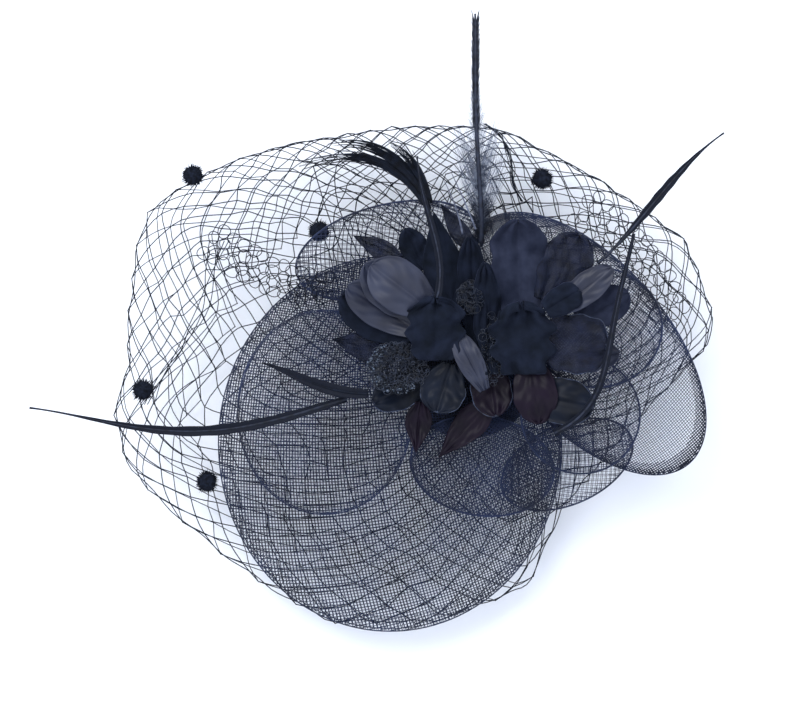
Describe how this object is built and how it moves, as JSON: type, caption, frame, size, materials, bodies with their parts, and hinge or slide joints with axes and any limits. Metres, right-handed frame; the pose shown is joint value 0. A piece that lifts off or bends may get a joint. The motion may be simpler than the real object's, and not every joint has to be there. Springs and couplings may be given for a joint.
{
  "type": "fascinator headpiece",
  "caption": "Cocktail hat of mesh-braid loops and a shallow mesh saucer over a puffed net veil, with fabric flowers and stripped feathers on a felt pad with a sprung hair clip.",
  "frame": {"origin": "middle of the felt pad's underside, where the hair clip is sewn on", "axes": "+Z away from the head, +Y towards the tips of the upright feathers, +X across the loops towards the largest one; the hair clip lies along X"},
  "size_m": [0.2759, 0.248, 0.0532],
  "materials": {
    "felt": "matt",
    "buckram": "matt",
    "clip_steel": "satin",
    "thread": "satin",
    "wrapped_wire": "satin",
    "mesh_braid": "satin",
    "veil_net": "matt",
    "chenille": "matt",
    "stripped_quill": "satin",
    "feather": "matt",
    "satin": "satin",
    "velvet": "matt",
    "organza": "satin",
    "taffeta": "satin",
    "stamen_beads": "gloss"
  },
  "bodies": {
    "headpiece": {"biot_left_long": "stripped_quill", "biot_right_curved": "stripped_quill", "biot_top_short": "stripped_quill", "biot_upper_right": "stripped_quill", "clip_pin": "clip_steel", "clip_spring": "clip_steel", "clip_stitches": "thread", "clip_upper_jaw": "clip_steel", "coque_spray": "feather", "felt_pad": "felt", "foundation_disc": "buckram", "hackle_top": "feather", "leaf_feather_left": "feather", "left_flower_stamens": "stamen_beads", "left_flower_stem": "wrapped_wire", "left_organza_side": "organza", "left_satin_lower": "satin", "left_satin_lower_under": "velvet", "left_satin_small": "satin", "left_satin_upper": "satin", "left_satin_upper_under": "velvet", "left_taffeta_lower": "taffeta", "left_taffeta_middle": "taffeta", "left_taffeta_side": "taffeta", "left_velvet_core": "velvet", "left_velvet_small_top": "velvet", "left_velvet_tall": "velvet", "loop_left": "mesh_braid", "loop_lower": "mesh_braid", "loop_lower_right": "mesh_braid", "loop_right_inner": "mesh_braid", "loop_right_large": "mesh_braid", "loop_small_right": "mesh_braid", "loop_upper_left": "mesh_braid", "lower_leaf_long": "taffeta", "lower_leaf_short": "taffeta", "mesh_saucer": "mesh_braid", "middle_velvet_short": "velvet", "middle_velvet_tall": "velvet", "organza_leaf_left": "organza", "organza_leaf_top": "organza", "quill_pair": "stripped_quill", "right_flower_stem": "wrapped_wire", "right_organza_lower": "organza", "right_organza_top": "organza", "right_satin_side": "satin", "right_satin_tip": "satin", "right_taffeta_glossy": "taffeta", "right_velvet_core": "velvet", "right_velvet_lower": "velvet", "right_velvet_rolled": "velvet", "right_velvet_side": "velvet", "right_velvet_top": "velvet", "saucer_hem": "mesh_braid", "stem_binding": "thread", "veil_dots": "chenille", "veil_net": "veil_net"},
    "clip_lever": {"clip_lower_jaw": "clip_steel"}
  },
  "joints": [
    {"name": "clip_hinge", "type": "hinge", "parent": "headpiece", "child": "clip_lever", "pos_m": [0.01, 0, -0.0042], "axis": [0, -1, 0], "range_deg": [0, 24], "stiffness_Nm_per_rad": 0.05, "springref_deg": -11.46}
  ]
}
